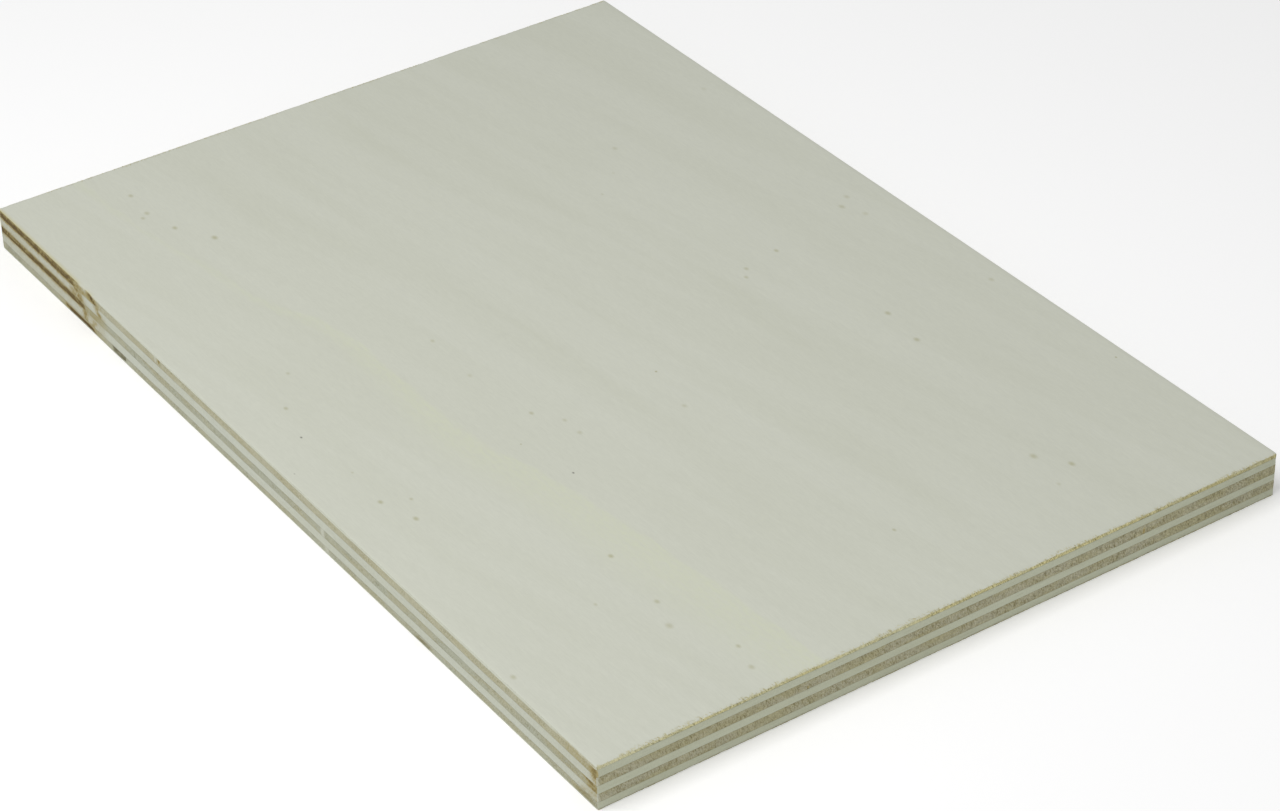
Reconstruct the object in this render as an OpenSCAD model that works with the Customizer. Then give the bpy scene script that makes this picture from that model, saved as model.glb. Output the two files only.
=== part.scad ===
// Seven-ply plywood sheet, lying flat on its back.
// The grain of each ply crosses that of its neighbours. The face, the two long plies and the back
// have their grain along the length of the sheet, and the three cross plies have it along the width.
// Each ply lies face to face on the one below it, as they are glued.
// The origin is on the underside, at the middle of the sheet. X runs along the length and Z points up.

/* [Sheet] */
// Length of the sheet, along the grain of its face
sheet_length = 350; // [100:10:2500]
// Width of the sheet, across the grain of its face
sheet_width = 240; // [80:10:1250]

/* [Plies] */
// Thickness of the sanded face veneer
face_thickness = 1.4; // [0.5:0.1:3]
// Thickness of the two outer cross plies, one under the face and one over the back
cross_thickness = 2.4; // [0.8:0.1:4]
// Thickness of the two long plies, on either side of the middle ply
long_thickness = 2.9; // [0.8:0.1:4]
// Thickness of the middle cross ply
middle_thickness = 2.6; // [0.8:0.1:4]
// Thickness of the back veneer, which is sanded thinner than the face
back_thickness = 0.4; // [0.3:0.1:3]

/* [Hidden] */

// Height of each ply's lower side above the underside of the sheet, from the back up to the face
back_z = 0;
lower_cross_z = back_z + back_thickness;
lower_long_z = lower_cross_z + cross_thickness;
middle_z = lower_long_z + long_thickness;
upper_long_z = middle_z + middle_thickness;
upper_cross_z = upper_long_z + long_thickness;
face_z = upper_cross_z + cross_thickness;

// Sanded faces, and the sawn edges of plies that show their long grain or their end grain at the front
FACE_COLOUR = [0.78, 0.79, 0.74];
END_GRAIN_COLOUR = [0.60, 0.58, 0.46];
LONG_GRAIN_COLOUR = [0.72, 0.73, 0.66];

// One ply: a full sheet of veneer, square-edged, with its lower side at the given height
module ply(height, thickness) {
    translate([-sheet_length / 2, -sheet_width / 2, height])
        cube([sheet_length, sheet_width, thickness]);
}

module face_veneer() {
    color(FACE_COLOUR)
        ply(face_z, face_thickness);
}

module upper_cross_ply() {
    color(END_GRAIN_COLOUR)
        ply(upper_cross_z, cross_thickness);
}

module upper_long_ply() {
    color(LONG_GRAIN_COLOUR)
        ply(upper_long_z, long_thickness);
}

module middle_cross_ply() {
    color(END_GRAIN_COLOUR)
        ply(middle_z, middle_thickness);
}

module lower_long_ply() {
    color(LONG_GRAIN_COLOUR)
        ply(lower_long_z, long_thickness);
}

module lower_cross_ply() {
    color(END_GRAIN_COLOUR)
        ply(lower_cross_z, cross_thickness);
}

module back_veneer() {
    color(FACE_COLOUR)
        ply(back_z, back_thickness);
}

face_veneer();
upper_cross_ply();
upper_long_ply();
middle_cross_ply();
lower_long_ply();
lower_cross_ply();
back_veneer();
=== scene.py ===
"""Looks of a seven-ply plywood sheet: glued plies, sawn edges, torn fibres, and a pale studio floor."""

import logging
import math
from dataclasses import dataclass, field
from enum import Enum
from typing import Optional, Union

import bpy
import numpy as np
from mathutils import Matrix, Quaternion, Vector


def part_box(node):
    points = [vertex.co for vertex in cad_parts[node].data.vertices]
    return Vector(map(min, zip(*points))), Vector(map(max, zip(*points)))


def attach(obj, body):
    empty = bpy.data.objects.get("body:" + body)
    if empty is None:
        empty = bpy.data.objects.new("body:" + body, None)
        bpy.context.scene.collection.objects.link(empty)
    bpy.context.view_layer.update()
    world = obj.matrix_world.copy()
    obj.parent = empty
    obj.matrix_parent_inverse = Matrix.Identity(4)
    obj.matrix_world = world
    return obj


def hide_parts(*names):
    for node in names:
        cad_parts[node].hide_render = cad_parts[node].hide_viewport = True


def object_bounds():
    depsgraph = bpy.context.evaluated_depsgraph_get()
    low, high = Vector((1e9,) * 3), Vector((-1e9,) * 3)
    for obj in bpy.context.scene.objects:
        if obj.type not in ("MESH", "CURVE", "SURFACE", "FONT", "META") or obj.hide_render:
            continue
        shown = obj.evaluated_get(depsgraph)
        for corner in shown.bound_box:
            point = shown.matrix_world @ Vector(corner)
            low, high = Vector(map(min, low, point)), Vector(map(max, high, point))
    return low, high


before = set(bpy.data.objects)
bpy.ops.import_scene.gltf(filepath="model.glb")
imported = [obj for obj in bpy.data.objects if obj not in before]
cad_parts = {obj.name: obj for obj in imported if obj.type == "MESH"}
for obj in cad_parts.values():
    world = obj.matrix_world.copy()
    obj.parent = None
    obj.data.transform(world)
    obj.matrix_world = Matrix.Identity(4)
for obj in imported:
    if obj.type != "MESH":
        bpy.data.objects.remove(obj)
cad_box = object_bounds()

LOG = logging.getLogger("plywood_sheet")
MM = 0.001

Triple = tuple[float, float, float]
Colour = Triple
Tone = tuple[int, int, int]
Socket = bpy.types.NodeSocket
Value = Union[float, Socket]
Tint = Union[Colour, Socket]


class Grain(Enum):
    """Which way the grain of a ply runs."""

    LENGTHWISE = "along the length of the sheet"
    CROSSWISE = "along the width of the sheet"


class Side(Enum):
    """The four sawn edges, in the order in which the outline passes them."""

    FRONT = 0
    RIGHT = 1
    REAR = 2
    LEFT = 3

    @property
    def is_end(self) -> bool:
        """True for the two short edges, which cross the length of the sheet."""
        return self in (Side.RIGHT, Side.LEFT)


class Surface(Enum):
    """The surfaces of a ply that each have a finish of their own, by material index."""

    SHORT_EDGES = 0
    LONG_EDGES = 1
    TOP = 2
    UNDERSIDE = 3


# ---------------------------------------------------------------------------------------------------
# Small helpers
# ---------------------------------------------------------------------------------------------------


def placed(name: str, data: bpy.types.ID) -> bpy.types.Object:
    """Puts a mesh, a light or a camera into the scene.

    Args:
        name: Name of the object.
        data: What it holds.

    Returns:
        The object.
    """
    made = bpy.data.objects.new(name, data)
    bpy.context.scene.collection.objects.link(made)
    return made


def srgb(red: int, green: int, blue: int, light: float = 1.0) -> Colour:
    """Turns a colour as the eye sees it into the wood's own reflectance.

    Args:
        red: Red, from 0 to 255.
        green: Green, from 0 to 255.
        blue: Blue, from 0 to 255.
        light: How brightly the surface is lit.

    Returns:
        The reflectance.
    """
    shares = [value / 255 for value in (red, green, blue)]
    linear = [s / 12.92 if s <= 0.04045 else ((s + 0.055) / 1.055) ** 2.4 for s in shares]
    return tuple(value / light for value in linear)


def smooth_step(value: np.ndarray, low: float, high: float) -> np.ndarray:
    """Rises smoothly from 0 at low to 1 at high.

    Args:
        value: Numbers to map.
        low: Where the rise starts.
        high: Where the rise ends.

    Returns:
        The mapped numbers, each from 0 to 1.
    """
    share = np.clip((value - low) / (high - low), 0.0, 1.0)
    return share * share * (3.0 - 2.0 * share)


class Ripple:
    """Seeded smooth noise over a plane, with values from -1 to 1 and a feature size of about 1."""

    TABLE = 256

    def __init__(self, seed: int) -> None:
        """Draws the table of lattice values from the seed."""
        self.table = np.random.default_rng(seed).uniform(-1.0, 1.0, (self.TABLE, self.TABLE))

    def at(self, u: np.ndarray, v: Union[np.ndarray, float] = 0.0) -> np.ndarray:
        """Reads the noise.

        Args:
            u: First coordinate of each place, in feature sizes.
            v: Second coordinate of each place, in feature sizes.

        Returns:
            The noise at each place.
        """
        u, v = np.broadcast_arrays(np.asarray(u, float), np.asarray(v, float))
        column, row = np.floor(u).astype(int), np.floor(v).astype(int)
        across, up = smooth_step(u - column, 0.0, 1.0), smooth_step(v - row, 0.0, 1.0)
        left, right = column % self.TABLE, (column + 1) % self.TABLE
        low, high = row % self.TABLE, (row + 1) % self.TABLE
        bottom = self.table[left, low] * (1 - across) + self.table[right, low] * across
        top = self.table[left, high] * (1 - across) + self.table[right, high] * across
        return bottom * (1 - up) + top * up


# ---------------------------------------------------------------------------------------------------
# Node graphs and finishes
# ---------------------------------------------------------------------------------------------------


@dataclass(frozen=True)
class Texture:
    """A layer of noise: size of its features, octaves of finer noise, its warp, and a shift of its own."""

    size: Triple
    detail: float = 2.0
    warp: float = 0.0
    shift: float = 0.0


class Graph:
    """A material's nodes, with one short method for each kind of step that the finishes use."""

    NOISE_STRIDES = (3.7, 1.9, 5.3)
    CELL_STRIDES = (2.3, 4.1, 1.7)

    def __init__(self, name: str) -> None:
        """Makes an empty material of that name.

        Args:
            name: Name of the finish.
        """
        self.material = bpy.data.materials.new(name)
        self.material.use_nodes = True
        self.tree = self.material.node_tree
        self.tree.nodes.clear()
        self.place = self.node("ShaderNodeTexCoord").outputs["Object"]

    def node(self, kind: str, **settings: object) -> bpy.types.Node:
        """Adds a node.

        Args:
            kind: Blender's name of the node type.
            settings: Attributes to set on it.

        Returns:
            The new node.
        """
        made = self.tree.nodes.new(kind)
        for name, value in settings.items():
            setattr(made, name, value)
        return made

    def feed(self, target: Socket, source: Union[Value, Tint]) -> None:
        """Links a socket to its source, or sets it where the source is a plain value.

        Args:
            target: Input socket.
            source: Output socket, number or colour.
        """
        if isinstance(source, bpy.types.NodeSocket):
            self.tree.links.new(source, target)
        elif target.type == "RGBA":
            target.default_value = (*source, 1.0)
        else:
            target.default_value = source

    def math(self, operation: str, first: Value, second: Value = 0.0, third: Value = 0.0) -> Socket:
        """One step of arithmetic on numbers.

        Args:
            operation: Blender's name of the operation.
            first: First number.
            second: Second number.
            third: Third number, where the operation has one.

        Returns:
            The result.
        """
        step = self.node("ShaderNodeMath", operation=operation)
        for target, source in zip(step.inputs, (first, second, third)):
            self.feed(target, source)
        return step.outputs[0]

    def times(self, first: Value, *others: Value) -> Value:
        """Multiplies numbers.

        Args:
            first: First number.
            others: What it is multiplied by.

        Returns:
            The product.
        """
        for other in others:
            first = self.math("MULTIPLY", first, other)
        return first

    def parts(self, vector: Socket) -> tuple[Socket, Socket, Socket]:
        """Splits a vector.

        Args:
            vector: The vector.

        Returns:
            Its x, y and z.
        """
        split = self.node("ShaderNodeSeparateXYZ")
        self.feed(split.inputs[0], vector)
        return split.outputs[0], split.outputs[1], split.outputs[2]

    def vector(self, x: Value, y: Value, z: Value = 0.0) -> Socket:
        """Puts a vector together.

        Args:
            x: First part.
            y: Second part.
            z: Third part.

        Returns:
            The vector.
        """
        join = self.node("ShaderNodeCombineXYZ")
        for target, source in zip(join.inputs, (x, y, z)):
            self.feed(target, source)
        return join.outputs[0]

    def turned(self, vector: Socket, degrees: float) -> Socket:
        """Turns a vector about Z.

        Args:
            vector: The vector.
            degrees: Angle, anticlockwise from above.

        Returns:
            The turned vector.
        """
        step = self.node("ShaderNodeVectorRotate", rotation_type="Z_AXIS")
        self.feed(step.inputs["Vector"], vector)
        step.inputs["Angle"].default_value = math.radians(degrees)
        return step.outputs[0]

    def mapped(self, vector: Socket, factor: Triple, shift: Triple) -> Socket:
        """Multiplies each part of a vector, and then moves it.

        Args:
            vector: The vector.
            factor: What each part is multiplied by.
            shift: What is added to each part.

        Returns:
            The mapped vector.
        """
        step = self.node("ShaderNodeVectorMath", operation="MULTIPLY_ADD")
        self.feed(step.inputs[0], vector)
        step.inputs[1].default_value = factor
        step.inputs[2].default_value = shift
        return step.outputs[0]

    def laid(self, kind: str, vector: Socket, texture: Texture, seed: float,
             strides: Triple) -> bpy.types.Node:
        """Lays a texture node over a place.

        Args:
            kind: Blender's name of the node type.
            vector: Place, in metres.
            texture: The layer of noise.
            seed: Shift of the whole finish.
            strides: How far one step of the shift moves the texture in x, y and z.

        Returns:
            The texture node.
        """
        shifts = tuple((seed + texture.shift) * stride for stride in strides)
        scales = tuple(1.0 / length for length in texture.size)
        made = self.node(kind)
        self.feed(made.inputs["Vector"], self.mapped(vector, scales, shifts))
        made.inputs["Scale"].default_value = 1.0
        return made

    def grain(self, vector: Socket, texture: Texture, seed: float = 0.0) -> Socket:
        """Noise whose features have a size of their own in each direction.

        Args:
            vector: Place, in metres.
            texture: The layer of noise.
            seed: Shift that tells one finish from another.

        Returns:
            Noise of about 0.25 to 0.75, with a mean of 0.5.
        """
        noise = self.laid("ShaderNodeTexNoise", vector, texture, seed, self.NOISE_STRIDES)
        noise.inputs["Detail"].default_value = texture.detail
        noise.inputs["Distortion"].default_value = texture.warp
        return noise.outputs[0]

    def cells(self, vector: Socket, texture: Texture, seed: float = 0.0) -> Socket:
        """Distance to the nearest of many scattered points.

        Args:
            vector: Place, in metres.
            texture: The scatter, whose size is the mean spacing of its points.
            seed: Shift that tells one finish from another.

        Returns:
            The distance, in spacings.
        """
        scatter = self.laid("ShaderNodeTexVoronoi", vector, texture, seed, self.CELL_STRIDES)
        return scatter.outputs["Distance"]

    def ramp(self, value: Value, low: float, high: float, start: Value = 0.0, end: Value = 1.0) -> Socket:
        """Maps a number smoothly from one span to another, and holds it there.

        Args:
            value: The number.
            low: Where the span starts.
            high: Where the span ends.
            start: Result at low.
            end: Result at high.

        Returns:
            The mapped number.
        """
        step = self.node("ShaderNodeMapRange", interpolation_type="SMOOTHSTEP")
        names = ("Value", "From Min", "From Max", "To Min", "To Max")
        for name, source in zip(names, (value, low, high, start, end)):
            self.feed(step.inputs[name], source)
        return step.outputs[0]

    def mix(self, share: Value, first: Tint, second: Tint, blend: str = "MIX") -> Socket:
        """Blends two colours.

        Args:
            share: How much of the second colour shows, from 0 to 1.
            first: First colour.
            second: Second colour.
            blend: Blender's name of the way of blending.

        Returns:
            The blended colour.
        """
        step = self.node("ShaderNodeMix", data_type="RGBA", blend_type=blend)
        self.feed(step.inputs[0], share)
        self.feed(step.inputs[6], first)
        self.feed(step.inputs[7], second)
        return step.outputs[2]

    def shaded(self, colour: Tint, shade: Socket) -> Socket:
        """Darkens or lightens a colour.

        Args:
            colour: The colour.
            shade: What it is multiplied by.

        Returns:
            The shaded colour.
        """
        return self.mix(1.0, colour, self.vector(shade, shade, shade), "MULTIPLY")

    def painted(self, name: str) -> Socket:
        """Reads a value that the mesh carries.

        Args:
            name: Name of the mesh attribute.

        Returns:
            Its value.
        """
        return self.node("ShaderNodeAttribute", attribute_name=name).outputs["Fac"]

    def bump(self, height: Socket, depth: float, strength: float = 1.0,
             under: Optional[Socket] = None) -> Socket:
        """Turns a height into a normal.

        Args:
            height: Height, from 0 to 1.
            depth: What a height of 1 measures, in metres.
            strength: Strength of the effect.
            under: Normal of the coarser relief that this one lies on.

        Returns:
            The normal.
        """
        step = self.node("ShaderNodeBump")
        step.inputs["Strength"].default_value = strength
        step.inputs["Distance"].default_value = depth
        self.feed(step.inputs["Height"], height)
        if under is not None:
            self.feed(step.inputs["Normal"], under)
        return step.outputs[0]

    def close(self, colour: Tint, roughness: Value, normal: Optional[Socket] = None,
              specular: float = 0.3) -> bpy.types.Material:
        """Ends the graph in a shader.

        Args:
            colour: Base colour.
            roughness: Roughness.
            normal: Normal, where there is relief.
            specular: Strength of the plain reflection.

        Returns:
            The finished material.
        """
        shader = self.node("ShaderNodeBsdfPrincipled")
        self.feed(shader.inputs["Base Color"], colour)
        self.feed(shader.inputs["Roughness"], roughness)
        shader.inputs["Specular IOR Level"].default_value = specular
        if normal is not None:
            self.feed(shader.inputs["Normal"], normal)
        output = self.node("ShaderNodeOutputMaterial")
        self.feed(output.inputs["Surface"], shader.outputs[0])
        return self.material


@dataclass(frozen=True)
class PinMark:
    """A small brown scar of a bud or twig in the face, in millimetres from the middle of the sheet."""

    x: float
    y: float
    length: float = 2.2
    depth: float = 0.6


@dataclass(frozen=True)
class Cloud:
    """A faint grey band of denser wood in the face: its middle, its size and its rise in degrees."""

    x: float
    y: float
    length: float
    width: float
    rise: float = 6.0
    depth: float = 1.0


@dataclass(frozen=True)
class SandedFinish:
    """A sanded veneer surface: matte pale wood with faint clouds, fine grain and small scars."""

    CLOUDING = Texture((150 * MM, 17 * MM, 1.0), 3.0, 0.6)
    RIBBONS = Texture((70 * MM, 4.5 * MM, 1.0), 2.0, 0.3, 1)
    FIBRES = Texture((7 * MM, 0.35 * MM, 1.0), 3.0, 0.0, 2)
    MOTTLE = Texture((2.4 * MM, 0.9 * MM, 1.0), 2.0, 0.0, 3)
    WOBBLE = Texture((14 * MM, 3 * MM, 1.0), 3.0, 0.0, 5)
    FLECKS = Texture((3 * MM, 1.1 * MM, 1.0), 3.0, 0.0, 6)
    TEARS = Texture((3 * MM, 0.5 * MM, 1.0), 2.0, 0.0, 7)
    TORN_PATCHES = Texture((40 * MM, 6 * MM, 1.0), 1.0, 0.0, 8)
    WISPS = Texture((22 * MM, 5 * MM, 1.0), 4.0, 0.5, 9)
    SPECKS = Texture((26 * MM, 22 * MM, 1.0), shift=11)
    SPECKLED = Texture((19 * MM, 19 * MM, 1.0), 0.0, 0.0, 12)
    CLOUDED = 0.22
    RIBBONED = 0.18
    FIBRE_SHADES = (0.978, 1.018)
    MOTTLE_SHADES = (0.99, 1.01)
    ROUGHNESSES = (0.62, 0.80)
    FIBRE_DEPTH = 0.05 * MM
    RIBBON_DEPTH = 0.04 * MM
    WISP_RISE = 6.0
    CLOUD_FADE = 1.45
    SCAR_SHAPE = (0.57, 0.40)
    SCAR_FADE = 1.3
    SCAR_STRENGTH = 0.72
    TORN_STRENGTH = 0.60

    name: str
    pale: Colour
    cloudy: Colour
    scar: Colour
    mineral: Colour
    torn: Colour
    half_length: float
    marks: tuple[PinMark, ...] = ()
    pits: tuple[PinMark, ...] = ()
    pit: Colour = (0.10, 0.10, 0.08)
    clouds: tuple[Cloud, ...] = ()
    streak: tuple[tuple[float, float], ...] = ()
    grain_angle: float = 9.0
    seed: float = 1.0

    def material(self) -> bpy.types.Material:
        """Builds the finish.

        Returns:
            The material.
        """
        graph = Graph(self.name)
        along = graph.turned(graph.place, -self.grain_angle)
        clouding = graph.grain(along, self.CLOUDING, self.seed)
        ribbons = graph.grain(along, self.RIBBONS, self.seed)
        fibres = graph.grain(graph.place, self.FIBRES, self.seed)
        mottle = graph.grain(graph.place, self.MOTTLE, self.seed)
        colour = graph.mix(graph.ramp(clouding, 0.40, 0.70, 0.0, self.CLOUDED), self.pale, self.cloudy)
        colour = graph.mix(graph.ramp(ribbons, 0.35, 0.75, 0.0, self.RIBBONED), colour, self.cloudy)
        if self.clouds:
            colour = graph.mix(self.cloud_share(graph), colour, self.cloudy)
        shade = graph.times(graph.ramp(fibres, 0.25, 0.75, *self.FIBRE_SHADES),
                            graph.ramp(mottle, 0.3, 0.7, *self.MOTTLE_SHADES))
        colour = graph.shaded(colour, shade)
        if self.streak:
            colour = graph.mix(self.mineral_share(graph), colour, self.mineral)
        for marks, tint in ((self.marks, self.scar), (self.pits, self.pit)):
            if marks:
                colour = graph.mix(self.scars(graph, marks), colour, tint)
        colour = graph.mix(self.specks(graph), colour, self.scar)
        colour = graph.mix(self.torn_share(graph), colour, self.torn)
        colour = graph.mix(graph.ramp(graph.painted("stain"), 0.0, 0.8, 0.0, 0.9), colour, self.torn)
        relief = graph.bump(fibres, self.FIBRE_DEPTH, 0.5)
        relief = graph.bump(ribbons, self.RIBBON_DEPTH, 0.5, relief)
        return graph.close(colour, graph.ramp(fibres, 0.2, 0.8, *self.ROUGHNESSES), relief, 0.25)

    def oval(self, graph: Graph, middle: tuple[float, float], half: tuple[float, float],
             rise: float = 0.0) -> Socket:
        """Distance from the middle of an oval, which is 1 on its outline.

        Args:
            graph: The material's nodes.
            middle: Its middle, in millimetres.
            half: Half its length and half its width, in millimetres.
            rise: How far its long axis is turned, in degrees.

        Returns:
            The distance.
        """
        place = graph.turned(graph.place, -rise) if rise else graph.place
        turn = math.radians(-rise)
        x = middle[0] * math.cos(turn) - middle[1] * math.sin(turn)
        y = middle[0] * math.sin(turn) + middle[1] * math.cos(turn)
        scales = (1 / (half[0] * MM), 1 / (half[1] * MM), 0.0)
        size = graph.node("ShaderNodeVectorMath", operation="LENGTH")
        graph.feed(size.inputs[0], graph.mapped(place, scales, (-x / half[0], -y / half[1], 0.0)))
        return size.outputs["Value"]

    def cloud_share(self, graph: Graph) -> Socket:
        """Share of the faint clouds, each a long oval that fades out and is broken up by streaks.

        Args:
            graph: The material's nodes.

        Returns:
            The share, from 0 to 1.
        """
        share: Value = 0.0
        for cloud in self.clouds:
            size = self.oval(graph, (cloud.x, cloud.y), (cloud.length / 2, cloud.width / 2), cloud.rise)
            share = graph.math("MAXIMUM", share, graph.ramp(size, 0.0, self.CLOUD_FADE, cloud.depth, 0.0))
        wisps = graph.grain(graph.turned(graph.place, -self.WISP_RISE), self.WISPS, self.seed)
        return graph.times(share, graph.ramp(wisps, 0.25, 0.70, 0.11, 0.37))

    def specks(self, graph: Graph) -> Socket:
        """Share of the tiny dark specks that are scattered thinly over the wood.

        Args:
            graph: The material's nodes.

        Returns:
            The share, from 0 to 1.
        """
        spot = graph.ramp(graph.cells(graph.place, self.SPECKS, self.seed), 0.008, 0.024, 1.0, 0.0)
        kept = graph.ramp(graph.grain(graph.place, self.SPECKLED, self.seed), 0.50, 0.60, 0.0, 0.6)
        return graph.times(spot, kept)

    def mineral_share(self, graph: Graph) -> Socket:
        """Share of the yellowish mineral streak, which is sharp above its line and fades below it.

        Args:
            graph: The material's nodes.

        Returns:
            The share, from 0 to 1.
        """
        x, y, _ = graph.parts(graph.place)
        heights = [spot[1] for spot in self.streak]
        lowest, rise = min(heights), max(heights) - min(heights)
        start, reach = self.streak[0][0], self.streak[-1][0] - self.streak[0][0]
        spots = [((along - start) / reach, (height - lowest) / rise) for along, height in self.streak]
        line = graph.node("ShaderNodeFloatCurve")
        curve = line.mapping.curves[0]
        curve.points[0].location = spots[0]
        curve.points[1].location = spots[-1]
        for spot in spots[1:-1]:
            curve.points.new(*spot)
        line.mapping.update()
        passed = graph.math("SUBTRACT", x, start * MM)
        graph.feed(line.inputs["Value"], graph.math("DIVIDE", passed, reach * MM))
        middle = graph.math("MULTIPLY_ADD", line.outputs[0], rise * MM, lowest * MM)
        wobble = graph.math("SUBTRACT", graph.grain(graph.place, self.WOBBLE, self.seed), 0.5)
        below = graph.math("SUBTRACT", graph.math("MULTIPLY_ADD", wobble, 5 * MM, middle), y)
        depth = graph.ramp(x, -120 * MM, 120 * MM, 2.6 * MM, 22 * MM)
        fade = graph.ramp(graph.math("DIVIDE", below, depth), 0.05, 1.0, 1.0, 0.0)
        flecks = graph.ramp(graph.grain(graph.place, self.FLECKS, self.seed), 0.3, 0.7, 0.34, 0.92)
        strength = graph.ramp(x, -110 * MM, -20 * MM, 0.38, 0.62)
        return graph.times(graph.ramp(below, -1.4 * MM, 0.6 * MM), fade, graph.times(flecks, strength))

    def scars(self, graph: Graph, marks: tuple[PinMark, ...]) -> Socket:
        """Share of the small brown scars or the dark pits, each an oval with a soft edge.

        Args:
            graph: The material's nodes.
            marks: The scars or the pits.

        Returns:
            The share, from 0 to 1.
        """
        share: Value = 0.0
        for mark in marks:
            half = (mark.length * self.SCAR_SHAPE[0], mark.length * self.SCAR_SHAPE[1])
            size = self.oval(graph, (mark.x, mark.y), half)
            spot = graph.ramp(size, 0.0, self.SCAR_FADE, mark.depth * self.SCAR_STRENGTH, 0.0)
            share = graph.math("MAXIMUM", share, spot)
        return share

    def torn_share(self, graph: Graph) -> Socket:
        """Share of the torn, yellower wood within about a millimetre of the two short edges.

        Args:
            graph: The material's nodes.

        Returns:
            The share, from 0 to 1.
        """
        x, _, _ = graph.parts(graph.place)
        inward = graph.math("SUBTRACT", self.half_length, graph.math("ABSOLUTE", x))
        tears = graph.grain(graph.place, self.TEARS, self.seed)
        patches = graph.grain(graph.place, self.TORN_PATCHES, self.seed)
        reach = graph.times(graph.ramp(tears, 0.45, 0.75, 0.1 * MM, 1.3 * MM),
                            graph.ramp(patches, 0.35, 0.65, 0.35, 1.45))
        return graph.ramp(graph.math("DIVIDE", inward, reach), 0.2, 1.0, self.TORN_STRENGTH, 0.0)


@dataclass(frozen=True)
class SawnFinish:
    """A sawn edge of one ply, which shows either its end grain or its long grain."""

    CHECKS = Texture((0.38 * MM, 1.0, 1.5 * MM), 2.0, 0.3)
    PATCHES = Texture((14 * MM, 1.0, 4 * MM), 3.0, 0.5, 1)
    PORES = Texture((0.5 * MM, 1.0, 0.55 * MM), shift=2)
    END_FUZZ = Texture((0.26 * MM, 1.0, 0.5 * MM), 3.0, 0.0, 3)
    CLUSTERS = Texture((6.5 * MM, 1.0, 2.2 * MM), 3.0, 0.4, 4)
    FLAKES = Texture((0.75 * MM, 1.0, 0.75 * MM), 2.0, 0.0, 5)
    STREAKS = Texture((9 * MM, 1.0, 0.22 * MM), 3.0, 0.2)
    DRIFT = Texture((45 * MM, 1.0, 3 * MM), 2.0, 0.4, 1)
    LONG_FUZZ = Texture((0.34 * MM, 1.0, 0.9 * MM), 3.0, 0.0, 2)
    BLOTS = Texture((3.0 * MM, 1.0, 0.9 * MM), 4.0, 0.4, 6)
    HAIRS = Texture((0.6 * MM, 1.0, 4.0 * MM), 2.0, 0.3, 7)
    SEAM_STRENGTH = 0.35
    RELIEF_DEPTH = 0.10 * MM
    END_CONTRAST = 0.22
    FLAKE_CONTRAST = 0.16
    FLAKED = (80 * MM, 240 * MM)
    LONG_SHADES = (0.955, 1.045)
    HAIR_LEAN = 1.6

    name: str
    base: Colour
    deep: Colour
    warm: Colour
    ochre: Colour
    brown: Colour
    bleached: Colour
    # Dark grey of the grey marks: grime in places, painted shade at the rear of the right edge and in a
    # notch
    grime_and_shade: Colour
    end_grain: bool
    pores: float
    warmth: float
    seed: float
    lean: float

    def material(self) -> bpy.types.Material:
        """Builds the finish.

        Returns:
            The material.
        """
        graph = Graph(self.name)
        x, y, z = graph.parts(graph.place)
        place = graph.vector(graph.math("ADD", x, y), 0.0, z)
        colour, height = (self.end_cut if self.end_grain else self.long_cut)(graph, place)
        from_middle = graph.math("ABSOLUTE", graph.math("SUBTRACT", graph.painted("across"), 0.5))
        seam = graph.times(graph.ramp(from_middle, 0.44, 0.5), self.SEAM_STRENGTH)
        colour = self.stained(graph, place, graph.mix(seam, colour, self.deep))
        normal = graph.bump(height, self.RELIEF_DEPTH, 0.7)
        return graph.close(colour, graph.ramp(height, 0.2, 0.8, 0.92, 0.74), normal, 0.2)

    def leaning(self, graph: Graph, along: Socket, up: Socket, lean: float) -> Socket:
        """Slants places on the edge, so that what is drawn there leans.

        Args:
            graph: The material's nodes.
            along: Place along the edge, in metres.
            up: Place up the edge, in metres.
            lean: How far it leans, as a share of the height.

        Returns:
            The slanted place.
        """
        return graph.vector(graph.math("MULTIPLY_ADD", up, lean, along), 0.0, up)

    def wood(self, graph: Graph, drift: Socket) -> Socket:
        """Colour of the clean wood, warmer in patches.

        Args:
            graph: The material's nodes.
            drift: Noise of the patches.

        Returns:
            The colour.
        """
        return graph.mix(graph.ramp(drift, 0.36, 0.66, 0.0, self.warmth), self.base, self.warm)

    def end_cut(self, graph: Graph, place: Socket) -> tuple[Socket, Socket]:
        """End grain: open pores, leaning checks, drifting warm patches, and coarser flakes far along.

        Args:
            graph: The material's nodes.
            place: Place on the edge, in metres: along it, nothing, and up it.

        Returns:
            Its colour and its height.
        """
        along, _, up = graph.parts(place)
        leaning = self.leaning(graph, along, up, self.lean)
        checks, clusters, flakes, fuzz = (
            graph.grain(leaning, texture, self.seed)
            for texture in (self.CHECKS, self.CLUSTERS, self.FLAKES, self.END_FUZZ))
        colour = self.wood(graph, graph.grain(place, self.PATCHES, self.seed))
        pores = graph.ramp(graph.cells(leaning, self.PORES, self.seed), 0.10, 0.44, 1.0, 0.0)
        pores = graph.times(pores, graph.ramp(clusters, 0.40, 0.60, 0.1, 1.15))
        splits = graph.times(graph.ramp(checks, 0.48, 0.70, 0.0, 0.95),
                             graph.ramp(clusters, 0.36, 0.58, 0.45, 1.0))
        marks = graph.math("MAXIMUM", pores, splits)
        colour = graph.mix(graph.times(marks, self.pores), colour, self.deep)
        contrast = self.END_CONTRAST * self.pores
        shade = graph.ramp(fuzz, 0.28, 0.72, 1.0 - contrast, 1.0 + contrast)
        contrast = self.FLAKE_CONTRAST * self.pores
        swing = graph.times(graph.ramp(flakes, 0.34, 0.66, -contrast, contrast),
                            graph.ramp(along, *self.FLAKED))
        colour = graph.shaded(colour, graph.math("MULTIPLY_ADD", shade, swing, shade))
        return colour, graph.math("SUBTRACT", graph.ramp(fuzz, 0.2, 0.8), graph.times(marks, 0.6))

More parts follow.
